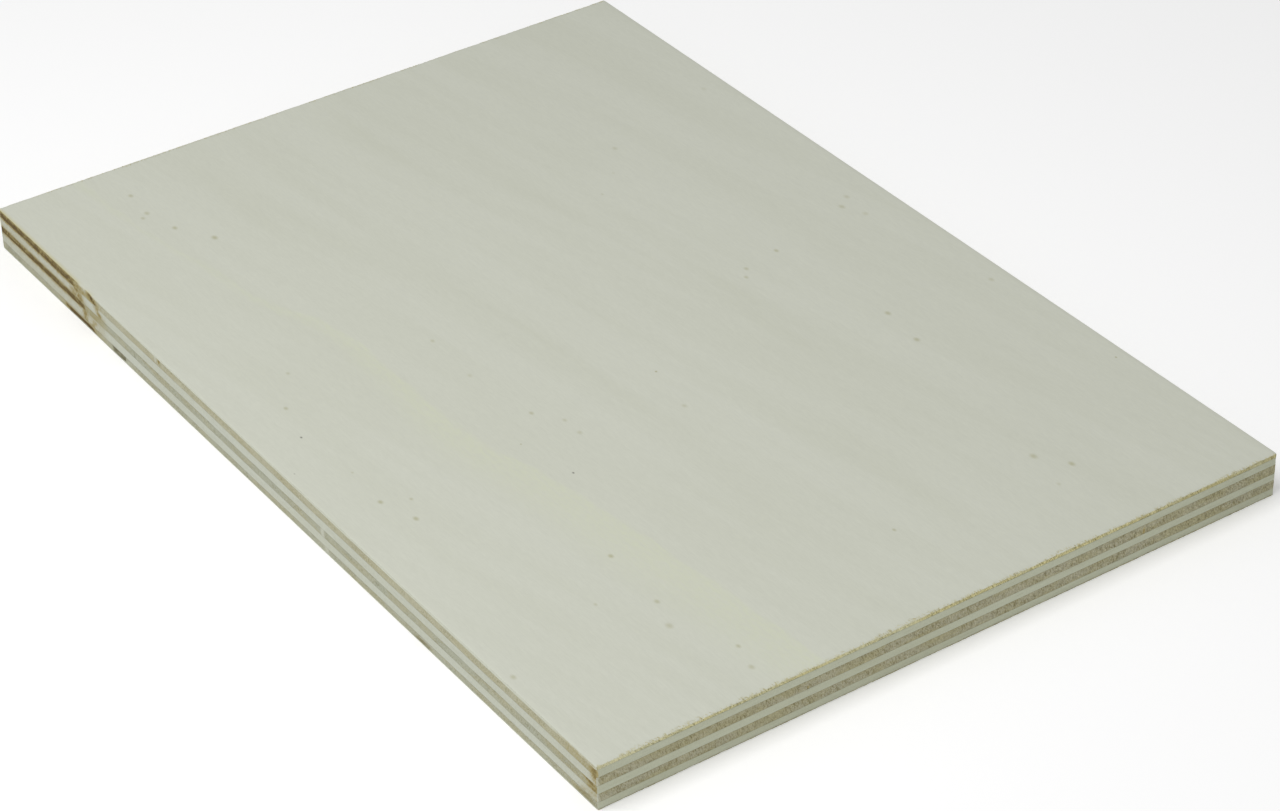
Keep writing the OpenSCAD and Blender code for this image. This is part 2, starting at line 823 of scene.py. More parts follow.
    def long_cut(self, graph: Graph, place: Socket) -> tuple[Socket, Socket]:
        """Long grain: smooth, with fine streaks along the edge.

        Args:
            graph: The material's nodes.
            place: Place on the edge, in metres: along it, nothing, and up it.

        Returns:
            Its colour and its height.
        """
        streaks = graph.grain(place, self.STREAKS, self.seed)
        along, _, up = graph.parts(place)
        fuzz = graph.grain(self.leaning(graph, along, up, self.lean), self.LONG_FUZZ, self.seed)
        colour = self.wood(graph, graph.grain(place, self.DRIFT, self.seed))
        colour = graph.mix(graph.ramp(streaks, 0.55, 0.78, 0.0, self.pores), colour, self.deep)
        colour = graph.shaded(colour, graph.ramp(fuzz, 0.28, 0.72, *self.LONG_SHADES))
        height = graph.math("ADD", graph.ramp(streaks, 0.2, 0.8, 0.0, 0.6),
                            graph.ramp(fuzz, 0.2, 0.8, 0.0, 0.4))
        return colour, height

    def stained(self, graph: Graph, place: Socket, colour: Socket) -> Socket:
        """Lays the stains over a colour: ochre where they are thin, brown where they are strong.

        Args:
            graph: The material's nodes.
            place: Place on the edge, in metres.
            colour: Colour of the clean wood.

        Returns:
            The stained colour.
        """
        stain = graph.painted("stain")
        blots = graph.grain(place, self.BLOTS, self.seed)
        along, _, up = graph.parts(place)
        leaning = self.leaning(graph, along, up, self.HAIR_LEAN * self.lean)
        hairs = graph.grain(leaning, self.HAIRS, self.seed)
        uneven = graph.times(stain, graph.ramp(blots, 0.28, 0.64, 0.66, 1.12),
                             graph.ramp(hairs, 0.30, 0.60, 0.72, 1.08))
        colour = graph.mix(graph.ramp(uneven, 0.0, 0.62), colour, self.ochre)
        colour = graph.mix(graph.ramp(uneven, 0.34, 1.0), colour, self.brown)
        # The grey layer darkens with grime in places, and with painted shade at the rear of the right edge
        # and in a notch of the lower cross ply.
        grime_and_shade = graph.times(graph.painted("grime_and_shade"), graph.ramp(blots, 0.28, 0.64, 0.7, 1.1))
        colour = graph.mix(graph.ramp(grime_and_shade, 0.0, 1.0), colour, self.grime_and_shade)
        return graph.mix(graph.ramp(stain, -0.1, -1.0), colour, self.bleached)


@dataclass(frozen=True)
class FibreFinish:
    """Torn fibres: straw yellow, paler towards their tips."""

    TONE = Texture((1.0, 0.7 * MM, 1.0), 2.0, 0.0, 4)
    SHEEN = Texture((0.4 * MM, 0.1 * MM, 0.4 * MM), 1.0, 0.0, 5)

    name: str
    root: Colour
    tip: Colour

    def material(self) -> bpy.types.Material:
        """Builds the finish.

        Returns:
            The material.
        """
        graph = Graph(self.name)
        tone = graph.ramp(graph.grain(graph.place, self.TONE), 0.3, 0.7, 0.4, 1.0)
        colour = graph.mix(graph.times(graph.painted("tip"), tone), self.root, self.tip)
        sheen = graph.grain(graph.place, self.SHEEN)
        roughness = graph.ramp(sheen, 0.2, 0.8, 0.6, 0.85)
        return graph.close(colour, roughness, graph.bump(sheen, 0.02 * MM, 0.5))


@dataclass(frozen=True)
class FloorFinish:
    """A plain, pale, matte studio floor with a faint light of its own, as a light table has."""

    name: str
    white: Colour
    glow: float

    def material(self) -> bpy.types.Material:
        """Builds the finish.

        Returns:
            The material.
        """
        material = Graph(self.name).close(self.white, 0.9, None, 0.1)
        shader = next(node for node in material.node_tree.nodes if node.type == "BSDF_PRINCIPLED")
        shader.inputs["Emission Color"].default_value = (1.0, 1.0, 1.0, 1.0)
        shader.inputs["Emission Strength"].default_value = self.glow
        return material


# ---------------------------------------------------------------------------------------------------
# Shape of the sheet
# ---------------------------------------------------------------------------------------------------


@dataclass(frozen=True)
class Patch:
    """A rectangle of a piece's flat map."""

    left: float
    bottom: float
    right: float
    top: float

    def at(self, u: np.ndarray, v: np.ndarray) -> np.ndarray:
        """Places points of the unit square in the rectangle.

        Args:
            u: Share of the way across, for each point.
            v: Share of the way up, for each point.

        Returns:
            The map coordinates, with a last axis of two.
        """
        u, v = np.broadcast_arrays(u, v)
        wide, tall = self.right - self.left, self.top - self.bottom
        return np.stack([self.left + u * wide, self.bottom + v * tall], -1)


@dataclass(frozen=True)
class Outline:
    """The sheet's outline, walked anticlockwise from its front left corner in short even steps."""

    half_length: float
    half_width: float
    cells_long: int = 100
    cells_wide: int = 68
    steps: int = 8

    @property
    def counts(self) -> tuple[int, int, int, int]:
        """Steps along each side, in the order of Side."""
        long_side, wide_side = self.cells_long * self.steps, self.cells_wide * self.steps
        return long_side, wide_side, long_side, wide_side

    @property
    def starts(self) -> tuple[int, int, int, int]:
        """Index of the first point of each side, in the order of Side."""
        return tuple(sum(self.counts[:side]) for side in range(4))

    @property
    def size(self) -> int:
        """How many points the outline has."""
        return sum(self.counts)

    def points(self) -> tuple[np.ndarray, np.ndarray]:
        """Corners and steps of the outline.

        Returns:
            The x and the y of each point.
        """
        corners = [(-1, -1), (1, -1), (1, 1), (-1, 1)]
        xs, ys = [], []
        for side, count in enumerate(self.counts):
            (x0, y0), (x1, y1) = corners[side], corners[(side + 1) % 4]
            share = np.arange(count) / count
            xs.append((x0 + (x1 - x0) * share) * self.half_length)
            ys.append((y0 + (y1 - y0) * share) * self.half_width)
        return np.concatenate(xs), np.concatenate(ys)

    def inward(self) -> tuple[np.ndarray, np.ndarray]:
        """Which way is inward at each point. At a corner it is inward from both sides.

        Returns:
            The x and the y of the inward step.
        """
        steps = [(0, 1), (-1, 0), (0, -1), (1, 0)]
        pairs = np.repeat(np.array(steps, float), self.counts, axis=0)
        for side, start in enumerate(self.starts):
            pairs[start] = np.add(steps[side], steps[side - 1])
        return pairs[:, 0], pairs[:, 1]

    def sides(self) -> np.ndarray:
        """Index of the side that each point lies on."""
        return np.repeat(np.arange(4), self.counts)

    def from_corner(self) -> np.ndarray:
        """Distance of each point from the nearest corner, in metres."""
        x, y = self.points()
        return np.hypot(self.half_length - np.abs(x), self.half_width - np.abs(y))


@dataclass(frozen=True)
class GlueLine:
    """The surface where two plies are glued. Real veneers vary, so it drifts from its nominal height.

    The drifts are in millimetres, at three places along the front edge and at the far end of the right one.
    """

    LONG_WAVE, SHORT_WAVE = 26 * MM, 7 * MM

    nominal: float
    front_left: float = 0.0
    front_middle: float = 0.0
    front_right: float = 0.0
    rear_right: float = 0.0
    ripple: float = 0.07
    seed: int = 1

    def height(self, x: np.ndarray, y: np.ndarray, outline: Outline) -> np.ndarray:
        """Height of the glue line.

        Args:
            x: First coordinate of each place, in metres.
            y: Second coordinate of each place, in metres.
            outline: The sheet's outline.

        Returns:
            The height at each place, in metres.
        """
        across, back = x / outline.half_length, (y / outline.half_width + 1) / 2
        bend = (self.front_left + self.front_right) / 2 - self.front_middle
        front = self.front_middle + (self.front_right - self.front_left) / 2 * across + bend * across**2
        rear = self.rear_right * (across + 1) / 2
        noise, long, short = Ripple(self.seed), self.LONG_WAVE, self.SHORT_WAVE
        waves = noise.at(x / long, y / long) + 0.5 * noise.at(x / short + 40, y / short)
        return self.nominal + MM * (front * (1 - back) + rear * back + self.ripple * waves)


@dataclass(frozen=True)
class Stain:
    """A soft-edged stain on a sawn edge of one ply.

    Places along the edge are in millimetres from its middle, and those across the ply are shares of its
    thickness, from its lower side. A stain of negative strength is a bleached patch. The flare is how much
    wider it is at the top of the ply, and sunk is how far its wood has shrunk back. A grey one is grime in
    places, and painted shade at the rear of the right edge and in a notch of the lower cross ply.
    """

    WANDER_SEED = 5
    BLUR = 0.2

    start: float
    end: float
    strength: float
    soft: float = 1.5
    low: float = -0.2
    high: float = 1.2
    lean: float = 0.0
    flare: float = 0.0
    sunk: float = 0.0
    grey: bool = False
    side: Side = Side.FRONT

    def on_outline(self, outline: Outline, across: float) -> np.ndarray:
        """How much of the stain is there at each point of the outline, from 0 to 1.

        Args:
            outline: The sheet's outline.
            across: Place across the ply, as a share of its thickness.

        Returns:
            The share at each point.
        """
        x, y = outline.points()
        along = (y if self.side.is_end else x) / MM
        cover = self.cover(along, np.full(outline.size, across))
        return np.where(outline.sides() == self.side.value, cover, 0.0)

    def cover(self, along: np.ndarray, across: np.ndarray) -> np.ndarray:
        """How much of the stain is there, from 0 to 1, were it on every side.

        Args:
            along: Place along the edge, in millimetres.
            across: Place across the ply, as a share of its thickness.

        Returns:
            The share at each place.
        """
        wander = Ripple(self.WANDER_SEED).at(along / (2.5 * self.soft) + self.start, across * 2.2 + self.end)
        wander = wander * 0.5 * self.soft
        shifted = along - self.lean * (0.5 - across) + wander
        start, end = self.start - self.flare * across, self.end + self.flare * across
        length = smooth_step(shifted, start - self.soft, start + self.soft)
        length = length * (1 - smooth_step(shifted, end - self.soft, end + self.soft))
        height = smooth_step(across, self.low - self.BLUR, self.low + self.BLUR)
        return length * height * (1 - smooth_step(across, self.high - self.BLUR, self.high + self.BLUR))


class Shell:
    """A closed mesh in the making, with its surfaces, its painted values and its flat map."""

    MAP_NAME = "OFBake"
    SHARP_ANGLE = 38

    def __init__(self) -> None:
        """Starts with no points and no faces."""
        self.points: list[np.ndarray] = []
        self.values: dict[str, list[np.ndarray]] = {"across": [], "stain": [], "grime_and_shade": []}
        self.faces: list[np.ndarray] = []
        self.maps: list[np.ndarray] = []
        self.surfaces: list[np.ndarray] = []
        self.count = 0

    def ring(self, x: np.ndarray, y: np.ndarray, z: np.ndarray, across: Union[np.ndarray, float] = 0.5,
             stain: Union[np.ndarray, float] = 0.0, grime_and_shade: Union[np.ndarray, float] = 0.0) -> np.ndarray:
        """Adds points.

        Args:
            x: Their first coordinates.
            y: Their second coordinates.
            z: Their heights.
            across: Their places across the ply, as shares.
            stain: How stained they are.
            grime_and_shade: How dark grey they are, which is grime in places and painted shade in others.

        Returns:
            Their indices.
        """
        x, y, z, across, stain, grime_and_shade = np.broadcast_arrays(x, y, z, across, stain, grime_and_shade)
        self.points.append(np.stack([x, y, z], -1).reshape(-1, 3))
        for name, value in (("across", across), ("stain", stain), ("grime_and_shade", grime_and_shade)):
            self.values[name].append(value.ravel())
        indices = np.arange(self.count, self.count + x.size).reshape(x.shape)
        self.count += x.size
        return indices

    def add(self, faces: np.ndarray, places: np.ndarray, surface: Surface, flip: bool = False) -> None:
        """Adds faces.

        Args:
            faces: Indices of their corners, one row for each face.
            places: Map coordinates of those corners.
            surface: The surface that they belong to.
            flip: Whether they are turned over.
        """
        if flip:
            faces, places = faces[:, ::-1], places[:, ::-1]
        self.faces.append(faces)
        self.maps.append(places.reshape(-1, 2))
        self.surfaces.append(np.full(len(faces), surface.value))

    def build(self, name: str) -> bpy.types.Object:
        """Makes the object.

        Args:
            name: Name of the piece.

        Returns:
            The object, in the scene.
        """
        mesh = bpy.data.meshes.new(name)
        faces = [row for block in self.faces for row in block.tolist()]
        mesh.from_pydata(np.concatenate(self.points).tolist(), [], faces)
        mesh.polygons.foreach_set("material_index", np.concatenate(self.surfaces).astype(np.int32))
        layer = mesh.uv_layers.new(name=self.MAP_NAME)
        layer.data.foreach_set("uv", np.concatenate(self.maps).astype(np.float32).ravel())
        for key, blocks in self.values.items():
            made = mesh.attributes.new(key, "FLOAT", "POINT")
            made.data.foreach_set("value", np.concatenate(blocks).astype(np.float32))
        mesh.shade_smooth()
        mesh.set_sharp_from_angle(angle=math.radians(self.SHARP_ANGLE))
        mesh.update()
        return placed(name, mesh)


@dataclass
class Ply:
    """One veneer of the sheet: its edges are sawn and rough, and glue holds its two broad sides.

    The constants of the relief are in millimetres: how deep the saw and the torn grain go, the spacing of
    the saw's marks, and the nominal height over which the relief changes.
    """

    TOP_PATCH = Patch(0.004, 0.884, 0.496, 0.996)
    UNDERSIDE_PATCH = Patch(0.504, 0.884, 0.996, 0.996)
    RELIEF_HEIGHT = 2.6
    END_DEPTH, PIT_DEPTH = 0.025, 0.11
    LONG_DEPTH, STREAK_DEPTH = 0.015, 0.035
    CHATTER_DEPTH, CHATTER_PITCH = 0.012, 2.3
    CORNER_WEAR, CORNER_REACH = 0.16, 0.5 * MM

    node: str
    slot: str
    grain: Grain
    lower: GlueLine
    upper: GlueLine
    short_edges: SawnFinish
    long_edges: SawnFinish
    broad: Union[SandedFinish, SawnFinish]
    stains: tuple[Stain, ...] = ()
    seed: int = 1
    rows: tuple[float, ...] = (0.0, 0.05, 0.14, 0.28, 0.44, 0.60, 0.75, 0.87, 0.95, 1.0)
    seam: float = 0.05 * MM
    cap_merge: int = 4
    cap_inset: float = 4 * MM

    @property
    def piece_name(self) -> str:
        """Name of the piece that stands for the node."""
        return f"{self.node}_sawn"

    def strip_patch(self, side: Side) -> Patch:
        """Where a side's sawn edge lies on the map."""
        return Patch(0.004, 0.22 * side.value + 0.004, 0.996, 0.22 * side.value + 0.216)

    def broad_side(self, surface: Surface) -> tuple[GlueLine, Patch]:
        """Height of the upper or the lower side, and where it lies on the map.

        Args:
            surface: Which of the two it is.

        Returns:
            The glue line that the side follows, and its patch.
        """
        if surface is Surface.TOP:
            return self.upper, self.TOP_PATCH
        return self.lower, self.UNDERSIDE_PATCH

    def is_end_grain(self, side: Side) -> bool:
        """True where that side cuts across the grain."""
        return side.is_end == (self.grain is Grain.LENGTHWISE)

    def relief(self, outline: Outline, across: float) -> np.ndarray:
        """How far the saw and the torn grain set the edge back.

        Args:
            outline: The sheet's outline.
            across: Place across the ply, as a share.

        Returns:
            The depth at each point of the outline, in metres.
        """
        x, y = outline.points()
        place, height = (x + y) / MM, across * self.RELIEF_HEIGHT
        noise = Ripple(self.seed)
        end = np.array([self.is_end_grain(side) for side in Side])[outline.sides()]
        pits = np.clip(noise.at(place / 0.9 + 0.4 * height, height / 1.3) - 0.15, 0, 1)
        streaks = 0.5 + 0.5 * noise.at(place / 7.0, height / 0.35 + 60)
        wander = 1.5 * noise.at(place / 11.0, 90.0)
        chatter = 0.5 + 0.5 * np.sin(place * math.tau / self.CHATTER_PITCH + wander)
        torn = np.where(end, self.END_DEPTH + self.PIT_DEPTH * pits,
                        self.LONG_DEPTH + self.STREAK_DEPTH * streaks)
        worn = self.CORNER_WEAR * np.exp(-((outline.from_corner() / self.CORNER_REACH) ** 2))
        depth = torn + self.CHATTER_DEPTH * chatter + worn + self.shrunk(outline, across)
        return depth * MM + self.seam * (across in (self.rows[0], self.rows[-1]))

    def shrunk(self, outline: Outline, across: float) -> np.ndarray:
        """How far the wood of the stains has shrunk back.

        Args:
            outline: The sheet's outline.
            across: Place across the ply, as a share.

        Returns:
            The depth at each point of the outline, in millimetres.
        """
        depth = np.zeros(outline.size)
        for stain in self.stains:
            if stain.sunk:
                depth += stain.sunk * stain.on_outline(outline, across)
        return depth

    def stain_at(self, outline: Outline, across: float, grey: bool = False) -> np.ndarray:
        """How stained the edge is, for one place across the ply.

        Args:
            outline: The sheet's outline.
            across: Place across the ply, as a share.
            grey: Whether the grey marks are meant, which are grime in places and painted shade in others.

        Returns:
            The strength at each point of the outline.
        """
        total = np.zeros(outline.size)
        for stain in (stain for stain in self.stains if stain.grey == grey):
            amount = stain.strength * stain.on_outline(outline, across)
            total = np.where(np.abs(amount) > np.abs(total), amount, total)
        return total

    def build(self, outline: Outline) -> bpy.types.Object:
        """Builds the ply's mesh.

        Args:
            outline: The sheet's outline.

        Returns:
            The object.
        """
        shell = Shell()
        rings = [self.edge_ring(shell, outline, across) for across in self.rows]
        for low, high, first, second in zip(rings, rings[1:], self.rows, self.rows[1:]):
            self.wrap(shell, outline, low, high, first, second)
        self.close(shell, outline, rings[-1], Surface.TOP)
        self.close(shell, outline, rings[0], Surface.UNDERSIDE)
        return shell.build(self.piece_name)

    def levels(self, outline: Outline) -> tuple[np.ndarray, np.ndarray]:
        """Heights of the lower and the upper end of the sawn edge, at each point of the outline."""
        x, y = outline.points()
        return self.lower.height(x, y, outline), self.upper.height(x, y, outline)

    def sawn_depth(self, outline: Outline, across: float) -> np.ndarray:
        """How far the edge lies behind the outline, for one place across the ply."""
        return self.relief(outline, across)

    def edge_ring(self, shell: Shell, outline: Outline, across: float) -> np.ndarray:
        """Adds one ring of points round the sawn edge.

        Args:
            shell: The mesh in the making.
            outline: The sheet's outline.
            across: Place across the ply, as a share.

        Returns:
            Indices of the points.
        """
        x, y = outline.points()
        low, high = self.levels(outline)
        step_x, step_y = outline.inward()
        depth = self.sawn_depth(outline, across)
        return shell.ring(x + step_x * depth, y + step_y * depth, low + (high - low) * across, across,
                          self.stain_at(outline, across), self.stain_at(outline, across, True))

    def wrap(self, shell: Shell, outline: Outline, low: np.ndarray, high: np.ndarray, first: float,
             second: float) -> None:
        """Joins two rings round the sawn edge.

        Args:
            shell: The mesh in the making.
            outline: The sheet's outline.
            low: Indices of the lower ring.
            high: Indices of the upper ring.
            first: Place of the lower ring across the ply, as a share.
            second: Place of the upper ring across the ply, as a share.
        """
        for side, start, count in zip(Side, outline.starts, outline.counts):
            index = np.arange(start, start + count)
            after = (index + 1) % outline.size
            faces = np.stack([low[index], low[after], high[after], high[index]], -1)
            u = np.arange(count) / count
            wide = np.stack([u, u + 1 / count, u + 1 / count, u], -1)
            tall = np.broadcast_to([first, first, second, second], wide.shape)
            surface = Surface.SHORT_EDGES if side.is_end else Surface.LONG_EDGES
            shell.add(faces, self.strip_patch(side).at(wide, tall), surface)

    def close(self, shell: Shell, outline: Outline, ring: np.ndarray, surface: Surface) -> None:
        """Closes the upper or the lower side inside a ring."""
        self.cap(shell, outline, ring, surface, self.cap_merge)

    def cap(self, shell: Shell, outline: Outline, ring: np.ndarray, surface: Surface, merge: int) -> None:
        """Fills one broad side: a band of triangles that coarsens inwards, and an even grid inside it.

        Args:
            shell: The mesh in the making.
            outline: The sheet's outline.
            ring: Indices of the ring that bounds the side.
            surface: The surface that the faces belong to.
            merge: How many cells of the outline one square of the grid spans.
        """
        line, _ = self.broad_side(surface)
        steps = outline.steps * merge
        half_x, half_y = outline.half_length - self.cap_inset, outline.half_width - self.cap_inset
        grid_x, grid_y = np.meshgrid(np.linspace(-half_x, half_x, outline.cells_long // merge + 1),
                                     np.linspace(-half_y, half_y, outline.cells_wide // merge + 1),
                                     indexing="ij")
        grid = shell.ring(grid_x, grid_y, line.height(grid_x, grid_y, outline))
        border = np.concatenate([grid[:-1, 0], grid[-1, :-1], grid[:0:-1, -1], grid[0, :0:-1]])
        quads = np.stack([grid[:-1, :-1], grid[1:, :-1], grid[1:, 1:], grid[:-1, 1:]], -1).reshape(-1, 4)
        cell = np.arange(len(border))
        after, middle = (cell + 1) % len(border), cell * steps + steps // 2
        bands = [np.stack([ring[middle], border[after], border[cell]], -1)]
        for step in range(steps):
            first = cell * steps + step
            corner = border[cell] if step < steps // 2 else border[after]
            bands.append(np.stack([ring[first], ring[(first + 1) % outline.size], corner], -1))
        for faces in (quads, np.concatenate(bands)):
            self.add_flat(shell, outline, faces, surface)

    def add_flat(self, shell: Shell, outline: Outline, faces: np.ndarray, surface: Surface) -> None:
        """Adds faces of a broad side, with their places on its patch of the map.

        Args:
            shell: The mesh in the making.
            outline: The sheet's outline.
            faces: Indices of the corners.
            surface: The surface that the faces belong to.
        """
        _, patch = self.broad_side(surface)
        places = np.concatenate(shell.points)[faces]
        u = places[..., 0] / outline.half_length / 2 + 0.5
        v = places[..., 1] / outline.half_width / 2 + 0.5
        shell.add(faces, patch.at(u, v), surface, surface is Surface.UNDERSIDE)

    def dress(self, piece: bpy.types.Object) -> None:
        """Gives each surface its finish and ties the piece to its node.

        Args:
            piece: The built object.
        """
        broad = self.broad.material()
        for material in (self.short_edges.material(), self.long_edges.material(), broad, broad):
            piece.data.materials.append(material)
        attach(piece, "root")
        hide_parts(self.node)

    def make(self, outline: Outline) -> bpy.types.Object:
        """Builds and dresses the ply.

        Args:
            outline: The sheet's outline.

        Returns:
            The finished object.
        """
        piece = self.build(outline)
        self.dress(piece)
        LOG.info("%s: %d faces, %s", piece.name, len(piece.data.polygons), self.grain.value)
        return piece


@dataclass
class OuterVeneer(Ply):
    """The face or the back: its broad outer side is sanded, and the saw has torn it at the short edges."""

    SANDED_PATCH = Patch(0.004, 0.004, 0.996, 0.684)
    GLUED_PATCH = Patch(0.004, 0.935, 0.996, 0.996)
    CORNER_KEPT = (0.5 * MM, 3 * MM)
    RIM_STAINS = (0.9, 0.6, 0.0)

    faces_up: bool = True
    broad_merge: int = 1
    arris: float = 0.12 * MM
    tear_reach: float = 0.9 * MM
    tear_depth: float = 0.28 * MM

    @property
    def sanded(self) -> Surface:
        """The broad side that is sanded."""
        return Surface.TOP if self.faces_up else Surface.UNDERSIDE

    def strip_patch(self, side: Side) -> Patch:
        """Where a side's sawn edge lies on the map, beside the broad side that shows."""
        return Patch(0.004, 0.69 + 0.06 * side.value, 0.996, 0.69 + 0.06 * side.value + 0.055)

    def broad_side(self, surface: Surface) -> tuple[GlueLine, Patch]:
        """Height of the upper or the lower side, and where it lies on the map.

        Args:
            surface: Which of the two it is.

        Returns:
            The glue line that the side follows, and its patch, which is large for the sanded side.
        """
        line, _ = super().broad_side(surface)
        return line, self.SANDED_PATCH if surface is self.sanded else self.GLUED_PATCH

    def tearing(self, outline: Outline) -> np.ndarray:
        """How much of the edge the saw has torn away.

        Args:
            outline: The sheet's outline.

        Returns:
            The share at each point of the outline, from 0 to 1.
        """
        x, y = outline.points()
        noise = Ripple(self.seed + 50)
        place = (x + y) / MM
        rough = noise.at(place / 0.9) + 0.8 * noise.at(place / 6.0, 9.0)
        rough = rough + 0.7 * noise.at(place / 31.0, 20.0)
        crossed = np.array([self.is_end_grain(side) for side in Side])[outline.sides()]
        keep = smooth_step(outline.from_corner(), *self.CORNER_KEPT)
        torn = np.clip(0.35 + 0.55 * rough, 0.0, 1.0) * np.where(x > 0, 1.0, 0.4)
        return np.where(crossed, torn, np.clip(0.5 * rough - 0.6, 0, 0.2)) * keep

    def levels(self, outline: Outline) -> tuple[np.ndarray, np.ndarray]:
        """Heights of the ends of the sawn edge, which is lower where its arris is torn.

        Args:
            outline: The sheet's outline.

        Returns:
            The heights of its lower and of its upper end, at each point of the outline.
        """
        low, high = super().levels(outline)
        torn = self.arris + self.tear_depth * self.tearing(outline)
        return (low, high - torn) if self.faces_up else (low + torn * 0.3, high)

    def sawn_depth(self, outline: Outline, across: float) -> np.ndarray:
        """How far the edge lies behind the outline, torn wood included, for one place across the ply."""
        return self.relief(outline, across) + 0.3 * self.tear_depth * self.tearing(outline)

    def rim(self, shell: Shell, outline: Outline, ring: np.ndarray) -> np.ndarray:
        """Adds the broken arris between the sawn edge and the sanded side.

        Args:
            shell: The mesh in the making.
            outline: The sheet's outline.
            ring: Indices of the last ring of the sawn edge.

        Returns:
            Indices of the ring where the sanded side is whole.
        """
        x, y = outline.points()
        tear = self.tearing(outline)
        hollow = 0.5 + 0.5 * Ripple(self.seed + 51).at((x + y) / MM / 0.7)
        start = self.sawn_depth(outline, self.rows[-1])
        stain = self.stain_at(outline, self.rows[-1] if self.faces_up else self.rows[0])
        insets = (start + self.arris + 0.2 * self.tear_reach * tear,
                  start + self.arris * 2 + 0.6 * self.tear_reach * tear,
                  np.full(outline.size, 2 * self.tear_reach))
        depths = (0.35 * self.arris + self.tear_depth * tear * (0.4 + 0.6 * hollow),
                  0.45 * self.tear_depth * tear * hollow,
                  np.zeros(outline.size))
        outer, into_wood = self.broad_side(self.sanded)[0].nominal, -1.0 if self.faces_up else 1.0
        for inset, depth, kept in zip(insets, depths, self.RIM_STAINS):
            inner = shell.ring(x * (1 - inset / outline.half_length), y * (1 - inset / outline.half_width),
                               outer + into_wood * depth, 0.5, stain * kept)
            after = (np.arange(outline.size) + 1) % outline.size
            faces = np.stack([ring, ring[after], inner[after], inner], -1)
            self.add_flat(shell, outline, faces, self.sanded)
            ring = inner
        return ring

    def close(self, shell: Shell, outline: Outline, ring: np.ndarray, surface: Surface) -> None:
        """Closes the upper or the lower side. On the sanded one the broken arris comes first.

        Args:
            shell: The mesh in the making.
            outline: The sheet's outline.
            ring: Indices of the ring that bounds the side.
            surface: The surface that the faces belong to.
        """
        if surface is self.sanded:
            self.cap(shell, outline, self.rim(shell, outline, ring), surface, self.broad_merge)
        else:
            super().close(shell, outline, ring, surface)


@dataclass
class TornFibres:
    """Fine slivers that the saw has lifted at the arrises of the short edges.

    The lengths, depths and radii that bound the random draws are in millimetres.
    """

    CORNER_GAP = 0.4 * MM
    FRONT_CALM = (70 * MM, 118 * MM)
    REAR_CALM = (-15 * MM, 45 * MM)
    SHORTEST, LONGEST = 0.35, 0.6
    ROOTS = (0.03, 0.30)
    RADII = (0.035, 0.09)

    name: str
    finish: FibreFinish
    slot: str
    top: float
    per_side: int = 1900
    segments: int = 4
    corners: int = 3
    lean: float = -0.30
    seed: int = 7

    def thickness(self, noise: Ripple, y: float, sign: float) -> float:
        """How thickly the slivers stand at one place of an edge.

        Args:
            noise: Noise of their tufts.
            y: The place, in metres from the middle of the edge.
            sign: 1 for the right edge and -1 for the left one.

        Returns:
            The thickness, of about 0 to 1.5.
        """
        tufts = 0.45 + 0.6 * noise.at(y / (9 * MM), 3.0 + sign) + 0.6 * noise.at(y / (1.6 * MM), 8.0)
        front = smooth_step(np.array(-y), *self.FRONT_CALM)
        rear = smooth_step(np.array(y), *self.REAR_CALM)
        return float(tufts) - 0.45 * float(front) - 0.28 * float(rear)

    def strands(self, outline: Outline, rng: np.random.Generator, sign: float) -> list[np.ndarray]:
        """Centre lines of the slivers on one short edge.

        Args:
            outline: The sheet's outline.
            rng: Source of the random draws.
            sign: 1 for the right edge and -1 for the left one.

        Returns:
            Points along each sliver, with their radius in the last column.
        """
        noise = Ripple(self.seed)
        share = np.linspace(0, 1, self.segments + 1)
        found = []
        for _ in range(self.per_side):
            y = rng.uniform(-1, 1) * (outline.half_width - self.CORNER_GAP)
            thick = self.thickness(noise, y, sign)
            if rng.uniform() > 0.25 + 0.75 * thick:
                continue
            length = rng.uniform(self.SHORTEST, self.LONGEST + 1.2 * np.clip(thick, 0.0, 1.2)) * MM
            root = outline.half_length - rng.uniform(*self.ROOTS) * MM
            lift = rng.uniform(0.0, 1.0)
            drift = rng.normal(self.lean, 0.16) * length
            x = root - length * share * (0.9 - 0.15 * lift)
            z = self.top - (0.30 - 0.27 * lift * np.sin(share * math.pi * 0.6)) * MM * (1 - 0.75 * share)
            radius = rng.uniform(*self.RADII) * MM * (1 - 0.8 * share)
            z = np.minimum(z, self.top - radius)
            found.append(np.stack([sign * x, y + drift * share**1.5, z, radius], -1))
        return found

    def build(self, outline: Outline) -> bpy.types.Object:
        """Builds the slivers as one mesh.

        Args:
            outline: The sheet's outline.

        Returns:
            The object.
        """
        rng = np.random.default_rng(self.seed)
        lines = self.strands(outline, rng, 1.0) + self.strands(outline, rng, -1.0)
        angles = np.arange(self.corners) * math.tau / self.corners
        points, faces, tips = [], [], []
        for line in lines:
            base = len(points)
            for share, (x, y, z, radius) in zip(np.linspace(0, 1, len(line)), line):
                points += [(x, y + radius * math.cos(a), z + radius * math.sin(a)) for a in angles]
                tips += [share] * self.corners
            for step in range(self.segments):
                here = base + step * self.corners
                there = here + self.corners
                for corner in range(self.corners):
                    after = (corner + 1) % self.corners
                    faces.append((here + corner, here + after, there + after, there + corner))
            faces.append(tuple(base + corner for corner in reversed(range(self.corners))))
            last = base + self.segments * self.corners
            faces.append(tuple(last + corner for corner in range(self.corners)))
        mesh = bpy.data.meshes.new(self.name)
        mesh.from_pydata(points, [], faces)
        made = mesh.attributes.new("tip", "FLOAT", "POINT")
        made.data.foreach_set("value", np.array(tips, np.float32))
        mesh.shade_smooth()
        return placed(self.name, mesh)

    def make(self, outline: Outline) -> bpy.types.Object:
        """Builds and dresses the slivers.

        Args:
            outline: The sheet's outline.

        Returns:
            The finished object.
        """
        piece = self.build(outline)
        piece.data.materials.append(self.finish.material())
        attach(piece, "root")
        LOG.info("%s: %d faces", piece.name, len(piece.data.polygons))
        return piece


# ---------------------------------------------------------------------------------------------------
# The sheet and the studio
# ---------------------------------------------------------------------------------------------------


